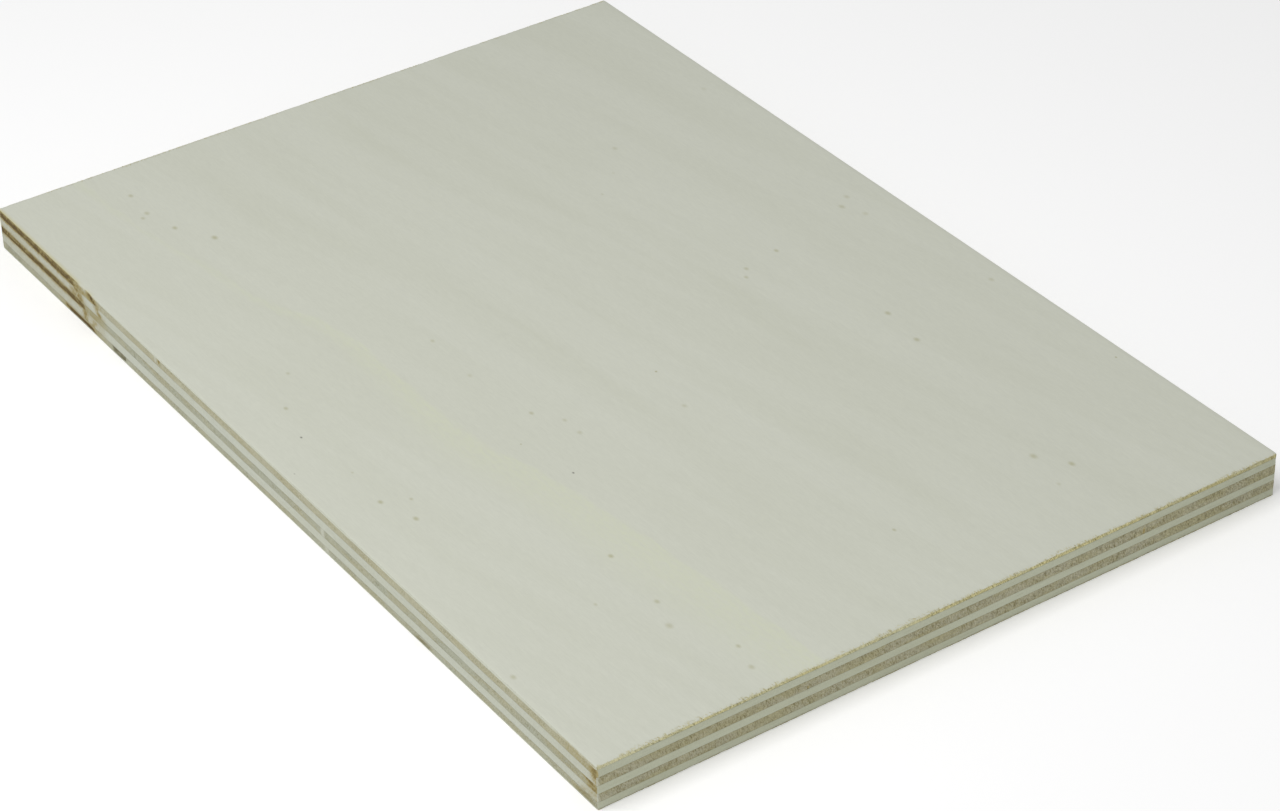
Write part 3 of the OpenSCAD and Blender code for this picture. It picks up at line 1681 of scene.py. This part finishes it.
@dataclass(frozen=True)
class EdgeTone:
    """How a sawn edge of a ply looks: its clean and its warmer wood, and the strength of its texture."""

    clean: Tone
    warm: Tone
    pores: float
    warmth: float
    lean: float = 0.3


@dataclass
class PlywoodSheet:
    """The whole sheet, from its back to its face."""

    DEEP, OCHRE, BROWN = (106, 99, 60), (158, 144, 92), (99, 82, 47)
    # The dark grey is grime in places, and painted shade at the rear of the right edge and in a notch.
    BLEACHED, GRIME = (198, 200, 186), (106, 103, 78)
    CROSS_SIDE = EdgeTone((169, 172, 153), (163, 165, 144), 0.25, 0.6)
    CROSS_ENDS = {
        "lower_cross_ply": EdgeTone((175, 176, 157), (174, 169, 138), 0.46, 0.6, -0.4),
        "middle_cross_ply": EdgeTone((172, 174, 155), (174, 169, 138), 0.46, 0.6, -0.4),
        "upper_cross_ply": EdgeTone((181, 179, 154), (174, 169, 138), 0.46, 0.6, -0.4),
    }
    LONG_SIDE = EdgeTone((193, 196, 183), (189, 191, 174), 0.20, 0.5, -0.4)
    LONG_END = EdgeTone((152, 149, 127), (149, 144, 111), 0.78, 0.7)
    OUTER_SIDE = EdgeTone((201, 204, 189), (197, 199, 180), 0.15, 0.5, -0.4)
    OUTER_ENDS = {
        "back_veneer": EdgeTone((160, 160, 138), (156, 153, 124), 0.75, 0.8, 0.55),
        "face_veneer": EdgeTone((184, 181, 146), (182, 174, 126), 0.75, 0.8, 0.55),
    }

    half_length: float
    half_width: float
    nodes: tuple[str, ...] = ("back_veneer", "lower_cross_ply", "lower_long_ply", "middle_cross_ply",
                              "upper_long_ply", "upper_cross_ply", "face_veneer")
    face_light: float = 0.925
    front_light: float = 0.93
    right_light: float = 0.72
    nap: float = 0.10 * MM
    outline: Outline = field(init=False)

    def __post_init__(self) -> None:
        """Lays out the outline."""
        self.outline = Outline(self.half_length, self.half_width)

    def glue_lines(self) -> list[GlueLine]:
        """Glue lines from the underside of the sheet to its face, each with its drift.

        Returns:
            The lines. The first and the last are the sanded outer sides, which are flat. The face lies as
            far below the top of the sheet as the torn fibres stand above it.
        """
        heights = [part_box(node)[0].z for node in self.nodes] + [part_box(self.nodes[-1])[1].z - self.nap]
        shapes = (
            (0.0, 0.0, 0.0, 0.0, 0.0),
            (0.0, -0.05, 0.0, 0.0, 0.03),
            (0.1, -0.5, -0.1, -0.2, 0.07),
            (0.7, -0.25, -0.2, -0.2, 0.08),
            (0.8, -0.2, -0.1, -0.4, 0.08),
            (1.0, 0.1, -0.1, -0.2, 0.08),
            (0.9, 0.35, 0.1, -0.1, 0.06),
            (0.0, 0.0, 0.0, 0.0, 0.0),
        )
        pairs = enumerate(zip(heights, shapes))
        return [GlueLine(height, *shape, 11 + index) for index, (height, shape) in pairs]

    def sawn(self, node: str, tone: EdgeTone, end_grain: bool, seed: float, light: float) -> SawnFinish:
        """A sawn finish with the stain colours that all plies share.

        Args:
            node: Name of the ply's node.
            tone: How the edge looks.
            end_grain: Whether it shows end grain.
            seed: Shift of its patterns.
            light: How brightly it is lit.

        Returns:
            The finish.
        """
        tones = (tone.clean, self.DEEP, tone.warm, self.OCHRE, self.BROWN, self.BLEACHED, self.GRIME)
        tints = (srgb(*shade, light) for shade in tones)
        name = f"{node}_{'end' if end_grain else 'long'}_grain"
        return SawnFinish(name, *tints, end_grain, tone.pores, tone.warmth, seed, tone.lean)

    def stains(self) -> dict[str, tuple[Stain, ...]]:
        """Stains of each ply: the front edge's dark left end, the scar beside it and the browned corners.

        Returns:
            Stains by node.
        """
        right = Side.RIGHT
        # Painted shade: darker grey towards the rear of the right edge, where the light falls off.
        rear_painted_shade = Stain(88, 200, 0.27, 46, grey=True, side=right)
        return {
            "face_veneer": (
                Stain(-176, -118.5, 0.78, 3.0, -0.6, 1.6),
                Stain(-119, -104, 0.28, 3.0, -0.6, 1.6),
                Stain(-106, -84, 0.10, 9.0, -0.6, 0.9),
                Stain(-113.4, -108.4, 0.62, 2.0, -0.6, 1.4, sunk=0.06),
                Stain(158, 177, 0.32, 7.0, -0.6, 0.8),
                Stain(-121, 0, -0.60, 12.0, 0.86, 1.3, side=right),
                Stain(10, 121, -0.28, 12.0, 0.86, 1.3, side=right),
                Stain(-121, -112, -0.35, 5.0, side=right),
                Stain(55, 160, 0.17, 40.0, -0.6, 0.8, side=right),
                # Painted shade: darker grey towards the rear of the right edge, where the light falls off.
                Stain(88, 200, 0.38, 50, grey=True, side=right)),
            "upper_cross_ply": (
                Stain(-176, -121.4, 0.92, 3.8, -0.02, 0.98, sunk=0.06),
                Stain(-176, -121.8, 1.14, 3.0, 0.02, 0.62),
                Stain(-125, -114.0, 0.48, 3.8),
                Stain(-117, -114, -0.30, 1.5, 0.4, 1.2),
                Stain(-110.9, -107.9, 0.88, 1.5, lean=2.8, flare=0.9, sunk=0.20),
                Stain(-114.0, -105.0, 0.44, 2.8, lean=1.5, flare=0.5),
                Stain(-66.0, -64.6, 0.60, 0.7, 0.35, 1.2, sunk=0.12),
                Stain(-68.2, -66.6, -0.6, 0.6, 0.2, 1.2),
                Stain(171.4, 178, 0.60, 2.6),
                Stain(154, 178, 0.28, 9.0),
                Stain(-121, -119.5, 0.50, 0.5, side=right),
                rear_painted_shade),
            "upper_long_ply": (
                Stain(-123.6, -116.0, 0.60, 5.0, flare=0.2),
                Stain(-176, -119, 0.50, 3.0, 0.78, 1.3),
                Stain(-176, -119, 0.44, 3.0, -0.3, 0.18),
                Stain(-176, -116, 0.18, 4.0),
                Stain(-176, -116, 0.08, 6.0, grey=True),
                Stain(-107.2, -103.6, 0.56, 2.3, lean=3.2, sunk=0.10),
                Stain(-112.6, -109.4, -0.20, 2.2, 0.2, 1.4),
                Stain(-104.2, -100, 0.20, 2.4, -0.2, 0.5),
                Stain(172.4, 178, 0.56, 2.0, 0.55),
                Stain(172.0, 178, 0.44, 2.4, -0.3, 0.7),
                Stain(155, 178, 0.08, 8.0),
                Stain(-120.6, -119.0, -0.5, 0.6, side=right),
                Stain(68.8, 69.4, 0.9, 0.45, -0.2, 0.7, sunk=0.25, side=right),
                Stain(-50.9, -50.3, 0.5, 0.4, -0.2, 0.4, sunk=0.2, side=right),
                rear_painted_shade),
            "middle_cross_ply": (
                Stain(-176, -114.8, 0.88, 3.0, 0.02, 0.94, sunk=0.06),
                Stain(-176, -115.2, 1.18, 2.6, 0.06, 0.52),
                Stain(-119, -103, 0.31, 4.5),
                Stain(169.2, 174.8, 0.68, 2.8),
                Stain(31.6, 34.0, -0.7, 0.8),
                Stain(150, 176, 0.18, 8.0),
                Stain(-82.6, -81.4, 0.4, 0.6, grey=True),
                rear_painted_shade),
            "lower_long_ply": (
                Stain(-116.4, -113.6, 0.82, 2.8),
                Stain(-113, -107.0, 0.48, 4.6, -0.2, 0.9),
                Stain(-176, -116, 0.06, 6.0, grey=True),
                Stain(-121, -103, 0.24, 4.5),
                Stain(-176, -117, 0.40, 3.0, 0.80, 1.3),
                Stain(-176, -117, 0.17, 4.0),
                Stain(165, 174.6, 0.34, 3.4, -0.2, 0.5),
                Stain(169, 178, 0.32, 3.4),
                Stain(152, 178, 0.08, 8.0),
                Stain(-120.6, -119.0, -0.5, 0.6, side=right),
                rear_painted_shade),
            "lower_cross_ply": (
                Stain(-129.4, -110.6, 1.34, 3.0, -0.3, 0.74, lean=2.4, sunk=0.08),
                Stain(-133, -104, 0.34, 5.5),
                # Painted shade: the grey of the notch and of its dark right line stands for the shade in
                # their recess.
                Stain(-97.4, -90.0, 0.74, 1.2, grey=True, sunk=0.06),
                Stain(-97.4, -89.6, 0.16, 1.6),
                Stain(-90.3, -89.3, 1.15, 0.6, grey=True, sunk=0.2),
                Stain(83.5, 92.0, 0.32, 3.0, -0.3, 0.75),
                Stain(83.5, 92.0, 0.56, 2.8, -0.3, 0.70, grey=True),
                Stain(164.5, 172.6, 0.34, 4.0, -0.3, 0.9),
                Stain(164.5, 173.5, 0.38, 4.0, -0.3, 0.9, grey=True),
                Stain(-176, -160, 0.30, 8.0, grey=True),
                Stain(-162, -128, 0.06, 8.0, grey=True),
                Stain(33.5, 36.2, -0.6, 0.8),
                rear_painted_shade),
            "back_veneer": (),
        }

    def sanded(self, name: str, tones: tuple[Tone, ...], marks: tuple[tuple[float, ...], ...],
               **details: object) -> SandedFinish:
        """A sanded finish.

        Args:
            name: Name of the finish.
            tones: Its pale wood, clouds, scars, mineral streak and torn wood, as the eye sees them.
            marks: Its scars, each as the numbers of a PinMark.
            details: What else is set on it.

        Returns:
            The finish.
        """
        tints = (srgb(*tone, self.face_light) for tone in tones)
        scars = tuple(PinMark(*mark) for mark in marks)
        return SandedFinish(name, *tints, self.half_length, scars, **details)

    def face_finish(self) -> SandedFinish:
        """Finish of the face, with its scars, pits, clouds and mineral streak.

        Returns:
            The finish.
        """
        tones = ((202, 204, 191), (193, 195, 179), (150, 146, 88), (204, 208, 183), (188, 182, 138))
        marks = (
            (52, 113, 2.4, 0.4), (-15, 107, 2.6, 0.35), (-11, 102, 2.8, 0.45), (-3, 105.5, 2.6, 0.33),
            (-101, 111, 2.6, 0.2), (48, 75, 2.6), (65, 73, 2.6), (-2, 69, 2.2), (-86, 64, 2.4, 0.35),
            (-73, 54.5, 1.6, 0.2), (1, 55, 2.2, 0.5), (5, 52, 2.0, 0.5), (-64, 44, 1.4, 0.3),
            (143.5, 68.5, 2.6, 0.65), (134, 62, 3.0, 0.55), (149, 59, 1.8, 0.3), (138.5, 7, 1.6, 0.6),
            (52, -5, 2.2, 0.35), (37, -38, 2.0, 0.38), (45, -38, 2.2, 0.38), (28, -44, 2.0, 0.55),
            (-23, -47, 2.0, 0.42), (0, -48, 2.2, 0.3), (155.5, -60, 2.0, 0.55), (165, -62.5, 2.4, 0.5),
            (101, -65, 2.2, 0.7), (126, -66.5, 2.2, 0.55), (137, -70, 3.0, 0.45), (-116.5, -71.5, 2.8, 0.7),
            (-129.5, -79, 2.4, 0.65), (-156, -81, 2.4, 0.55), (-143, -82, 2.6, 0.5),
            (-141, -84.5, 2.0, 0.5), (-34, -92, 1.8, 0.4), (-18, -102, 2.0, 0.6), (44, -96, 1.6, 0.5),
            (40, -104, 2.2, 0.7), (53, -100, 2.4, 0.7), (22.5, -103, 1.2, 0.4), (117, -81, 1.5, 0.4),
            (130.5, -117, 2.4, 0.5),
        )
        pits = ((61, -51, 1.0, 1.2), (-2, -106, 1.0, 1.2), (13, -117, 0.8, 0.5))
        clouds = (
            (12, 44, 100, 13, 1.0, 1.0), (-68, 27, 80, 11, 14.0, 0.8), (-141, 2, 50, 6, 5.0, 0.9),
            (-15, 3, 90, 13, 6.0, 0.7), (15, -18, 110, 7, 7.0, 1.0), (100, -20, 60, 22, 4.0, 0.4),
            (70, 84, 90, 14, 7.0, 0.6), (-112, -52, 60, 24, 4.0, 0.35), (-88, 50, 30, 24, 0.0, 0.4),
            (-20, 80, 120, 16, 5.0, 0.3), (120, 25, 90, 12, 6.0, 0.35), (-120, 95, 90, 20, 8.0, 0.3),
        )
        streak = ((-175, -91), (-150, -89.5), (-100, -82), (-72, -77), (-42, -67), (30, -65), (52, -59.5),
                  (112, -51), (175, -45))
        return self.sanded("sanded_face", tones, marks, pits=tuple(PinMark(*pit) for pit in pits),
                           clouds=tuple(Cloud(*cloud) for cloud in clouds), streak=streak)

    def back_finish(self) -> SandedFinish:
        """Finish of the back, which is a little darker and plainer than the face.

        Returns:
            The finish.
        """
        tones = ((196, 197, 180), (186, 187, 168), (150, 134, 92), (190, 190, 165), (180, 172, 124))
        marks = ((-90, 40, 3.0), (-62, -71, 2.4), (20, 88, 2.2), (71, -12, 3.2, 0.7), (118, 52, 2.4),
                 (140, -84, 2.0), (-130, -20, 2.6))
        return self.sanded("sanded_back", tones, marks, grain_angle=-5.0, seed=21.0)

    def edge_tones(self, node: str) -> tuple[EdgeTone, EdgeTone]:
        """Tones of a ply's short edges and of its long ones.

        Args:
            node: Name of the ply's node.

        Returns:
            The two tones.
        """
        if node in self.CROSS_ENDS:
            return self.CROSS_SIDE, self.CROSS_ENDS[node]
        if node in self.OUTER_ENDS:
            return self.OUTER_ENDS[node], self.OUTER_SIDE
        return self.LONG_END, self.LONG_SIDE

    def plies(self) -> list[Ply]:
        """All the plies, from the back up to the face.

        Returns:
            The plies.
        """
        lines, stains = self.glue_lines(), self.stains()
        made: list[Ply] = []
        for index, node in enumerate(self.nodes):
            crosswise, outer = node in self.CROSS_ENDS, node in self.OUTER_ENDS
            faces_up = node == "face_veneer"
            short_tone, long_tone = self.edge_tones(node)
            seed = 3.0 + 5.0 * index
            short = self.sawn(node, short_tone, not crosswise, seed, self.right_light)
            long = self.sawn(node, long_tone, crosswise, seed + 2, self.front_light)
            grain = Grain.CROSSWISE if crosswise else Grain.LENGTHWISE
            slot = node if outer else "cross_ply" if crosswise else "long_ply"
            shared = (node, slot, grain, lines[index], lines[index + 1], short, long)
            if outer:
                finish = self.face_finish() if faces_up else self.back_finish()
                made.append(OuterVeneer(*shared, finish, stains[node], 31 + index, faces_up=faces_up))
            else:
                made.append(Ply(*shared, long, stains[node], 31 + index))
        return made

    def make(self) -> None:
        """Builds every ply, and the fibres that the saw has lifted from the face."""
        for ply in self.plies():
            ply.make(self.outline)
        root, tip = srgb(178, 168, 116, self.right_light), srgb(199, 193, 148, self.front_light)
        fibre = FibreFinish("torn_fibre", root, tip)
        TornFibres("torn_face_fibres", fibre, "face_veneer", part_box("face_veneer")[1].z).make(self.outline)


@dataclass(frozen=True)
class Studio:
    """A pale floor, soft light and the camera."""

    SENSOR = 36.0
    NEAR, FAR = 0.05, 50.0

    azimuth: float = 56.24
    elevation: float = 34.40
    roll: float = -1.54
    distance: float = 1.1034
    aim: Triple = (0.0350, -0.0096, 0.0075)
    lens: float = 102.44
    floor_finish: FloorFinish = FloorFinish("studio_floor", (0.94, 0.94, 0.94), 0.18)
    floor_reach: float = 4.0
    floor_height: float = -0.05 * MM
    fill: float = 0.45
    key_place: Triple = (0.07, -0.40, 0.88)
    key_size: float = 0.6
    key_power: float = 4.9

    def camera(self) -> None:
        """Places the camera and makes it the scene's."""
        data = bpy.data.cameras.new("camera")
        data.lens, data.sensor_width = self.lens, self.SENSOR
        data.clip_start, data.clip_end = self.NEAR, self.FAR
        camera = placed("camera", data)
        turn, rise = math.radians(self.azimuth), math.radians(self.elevation)
        back = Vector((math.sin(turn) * math.cos(rise), -math.cos(turn) * math.cos(rise), math.sin(rise)))
        camera.location = Vector(self.aim) + back * self.distance
        camera.rotation_mode = "QUATERNION"
        level = (-back).to_track_quat("-Z", "Y")
        camera.rotation_quaternion = level @ Quaternion((0, 0, 1), math.radians(self.roll))
        bpy.context.scene.camera = camera

    def key_light(self) -> None:
        """Hangs the soft square light, which faces the sheet."""
        data = bpy.data.lights.new("key_light", "AREA")
        data.shape, data.size, data.energy = "SQUARE", self.key_size, self.key_power
        light = placed("key_light", data)
        light.location = self.key_place
        light.rotation_mode = "QUATERNION"
        light.rotation_quaternion = (-Vector(self.key_place)).to_track_quat("-Z", "Y")

    def floor(self) -> None:
        """Lays the floor under the sheet."""
        reach = self.floor_reach
        mesh = bpy.data.meshes.new("studio_floor")
        corners = ((-reach, -reach), (reach, -reach), (reach, reach), (-reach, reach))
        mesh.from_pydata([(x, y, self.floor_height) for x, y in corners], [], [(0, 1, 2, 3)])
        mesh.materials.append(self.floor_finish.material())
        floor = placed("studio_floor", mesh)

    def surround(self) -> None:
        """Fills the room with even light."""
        world = bpy.data.worlds.new("studio")
        world.use_nodes = True
        background = world.node_tree.nodes["Background"]
        background.inputs["Color"].default_value = (1.0, 1.0, 1.0, 1.0)
        background.inputs["Strength"].default_value = self.fill
        bpy.context.scene.world = world

    def make(self) -> None:
        """Sets up the floor, the lights and the camera."""
        self.floor()
        self.surround()
        self.key_light()
        self.camera()
        bpy.context.scene.view_settings.view_transform = "Standard"


def main() -> None:
    logging.basicConfig(level=logging.INFO, format="%(name)s: %(message)s")
    Studio().make()
    low, high = cad_box
    PlywoodSheet((high.x - low.x) / 2, (high.y - low.y) / 2).make()


if __name__ == "__main__":
    main()
